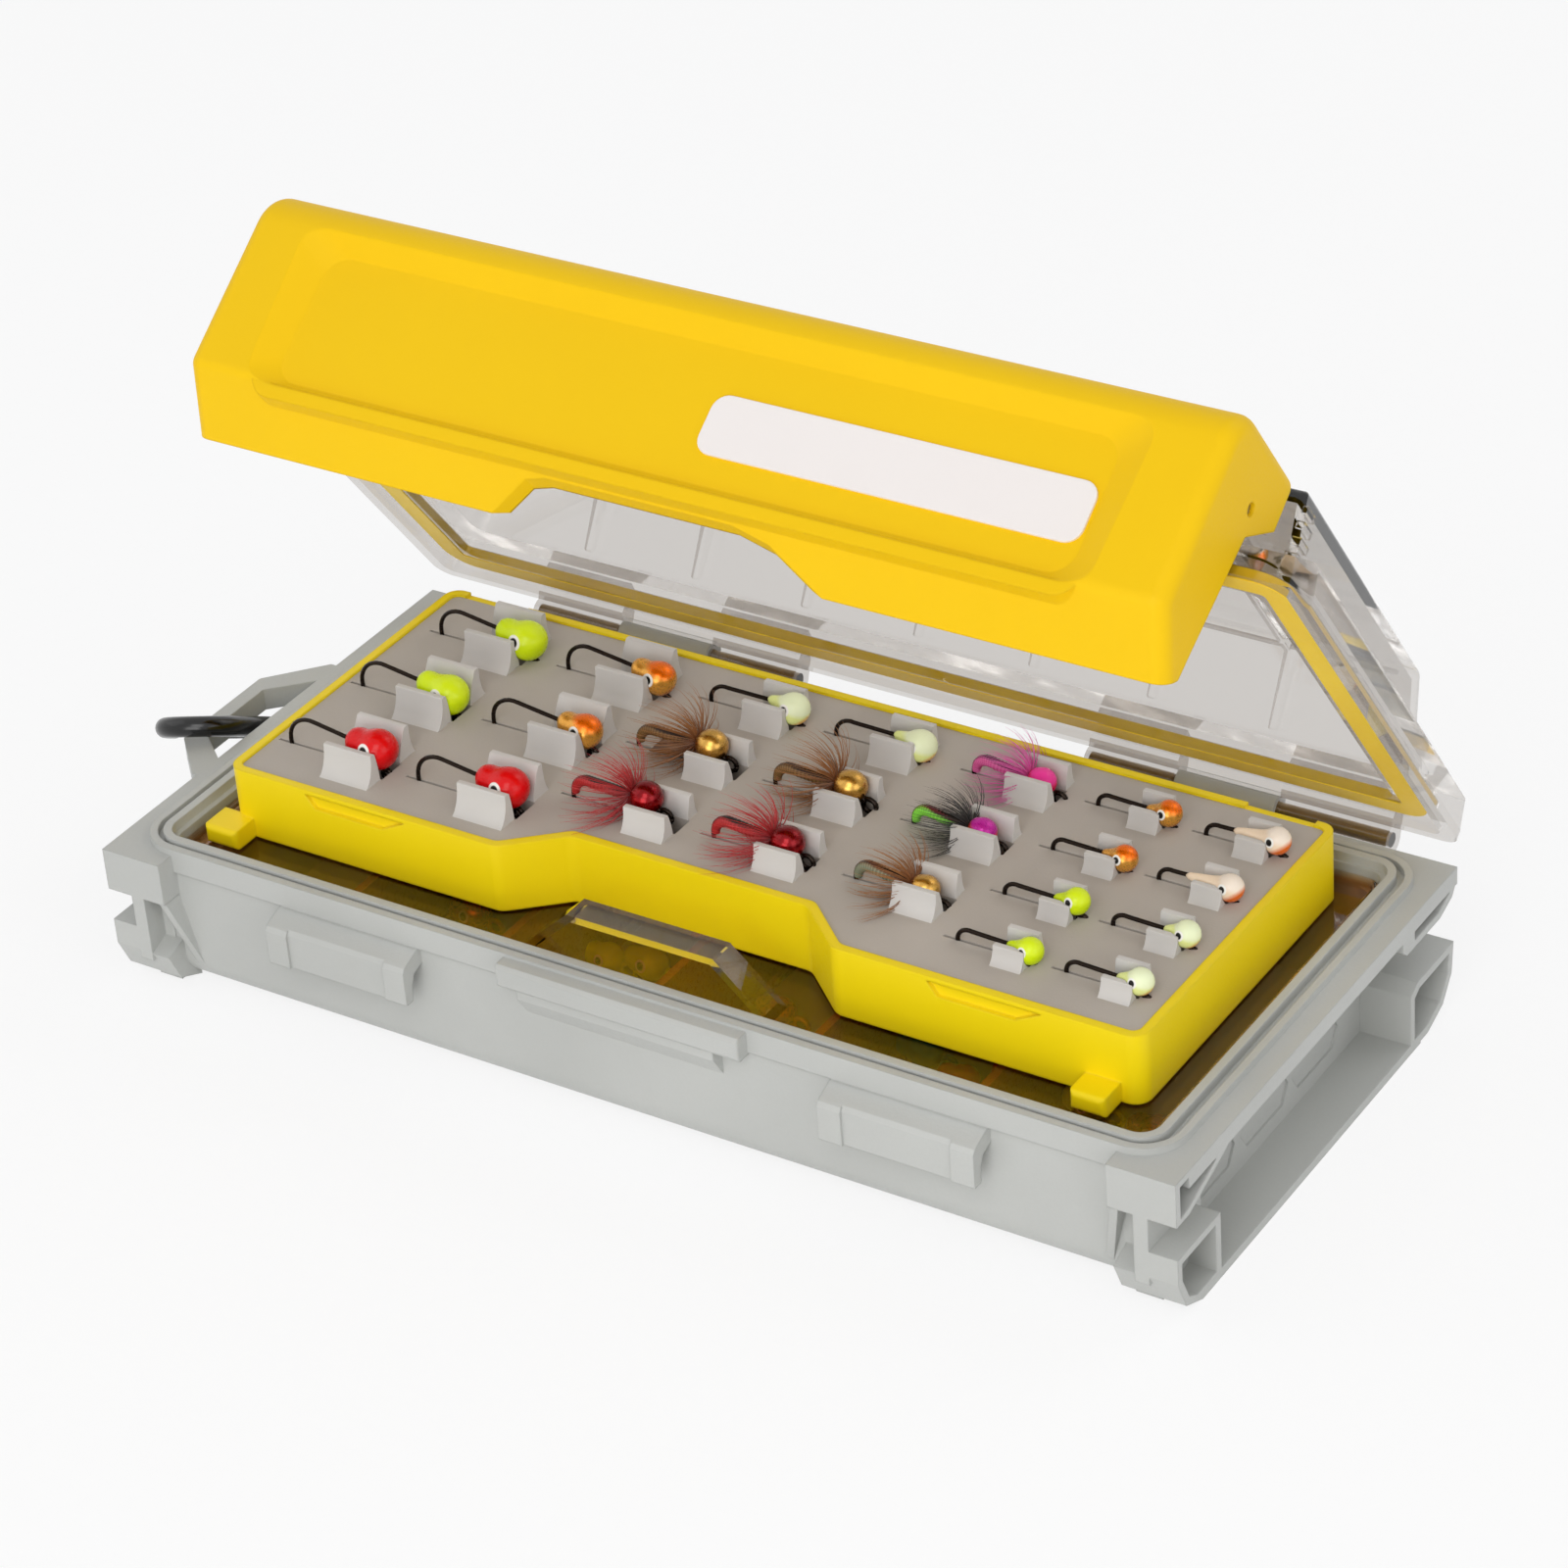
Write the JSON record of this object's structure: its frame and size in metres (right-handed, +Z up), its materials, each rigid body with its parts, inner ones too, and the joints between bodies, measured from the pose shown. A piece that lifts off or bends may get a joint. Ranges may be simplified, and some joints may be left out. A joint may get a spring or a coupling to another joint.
{
  "type": "jig box",
  "caption": "Shallow waterproof jig box: gray binned tub, clear hinged lid with a full-width yellow latch, clear inner door, yellow tray with a slit pad full of jigs, side loop with snap hook.",
  "frame": {"origin": "middle of the tub's footprint, on the surface it stands on", "axes": "+X right along the box, +Y to the rear hinge side, +Z up; the lid stands open as in the picture"},
  "size_m": [0.2063, 0.1007, 0.1185],
  "materials": {
    "tub_plastic": "light gray moulded plastic, fine matte",
    "clear_plastic": "clear polished plastic",
    "yellow_plastic": "yellow moulded plastic, satin",
    "seal_rubber": "yellow soft seal",
    "pad_rubber": "warm gray soft pad",
    "label_white": "blank white writing strip",
    "steel_pin": "drawn steel pin",
    "hook_wire": "black hook wire",
    "black_metal": "black gloss coat",
    "head_chartreuse": "gloss paint",
    "head_red": "gloss paint",
    "head_orange": "gold plate with orange paint",
    "head_glow": "pale glow paint",
    "head_brass": "polished brass bead",
    "head_ruby": "metallic red bead",
    "head_white": "white gloss paint",
    "divider_plastic": "smoky translucent plastic"
  },
  "bodies": {
    "base": {"base_tub": "tub_plastic", "bin_dividers": "divider_plastic", "hinge_pin_left": "steel_pin", "hinge_pin_right": "steel_pin", "stored_jigs": "head_orange"},
    "lid": {"lid_shell": "clear_plastic", "lid_gasket": "seal_rubber", "latch_pin_left": "steel_pin", "latch_pin_right": "steel_pin"},
    "latch": {"latch_cover": "yellow_plastic", "label_strip": "label_white"},
    "door": {"inner_door": "clear_plastic"},
    "tray": {"tray_frame": "yellow_plastic", "tray_pad": "pad_rubber", "jig_hooks": "hook_wire", "jig_heads_chartreuse": "head_chartreuse", "jig_heads_red": "head_red", "jig_heads_orange": "head_orange", "jig_heads_glow": "head_glow", "jig_heads_brass": "head_brass", "jig_heads_ruby": "head_ruby", "jig_heads_white": "head_white"},
    "snap": {"snap_body": "black_metal", "gate_pin": "steel_pin"},
    "gate": {"snap_gate": "black_metal"}
  },
  "joints": [
    {"name": "lid_hinge", "type": "hinge", "parent": "base", "child": "lid", "pos_m": [0, 0.0474, 0.024], "axis": [-1, 0, 0], "range_deg": [-54.1, 60]},
    {"name": "latch_pivot", "type": "hinge", "parent": "lid", "child": "latch", "pos_m": [0, 0.00331, 0.10418], "axis": [-1, 0, 0], "range_deg": [0, 25]},
    {"name": "door_hinge", "type": "hinge", "parent": "base", "child": "door", "pos_m": [0, 0.0367, 0.0227], "axis": [-1, 0, 0], "range_deg": [0, 35]},
    {"name": "tray_hinge", "type": "hinge", "parent": "door", "child": "tray", "pos_m": [0, 0.0326, 0.023], "axis": [-1, 0, 0], "range_deg": [0, 30]},
    {"name": "snap_swing", "type": "hinge", "parent": "base", "child": "snap", "pos_m": [-0.1031, -0.005, 0.0227], "axis": [-1, 0, 0], "range_deg": [0, 60]},
    {"name": "gate_pivot", "type": "hinge", "parent": "snap", "child": "gate", "pos_m": [-0.10926, -0.00181, 0.019], "axis": [-0.2574, 0.4783, 0.8396], "range_deg": [0, 15], "stiffness_Nm_per_rad": 0.01, "springref_deg": -11.46}
  ]
}
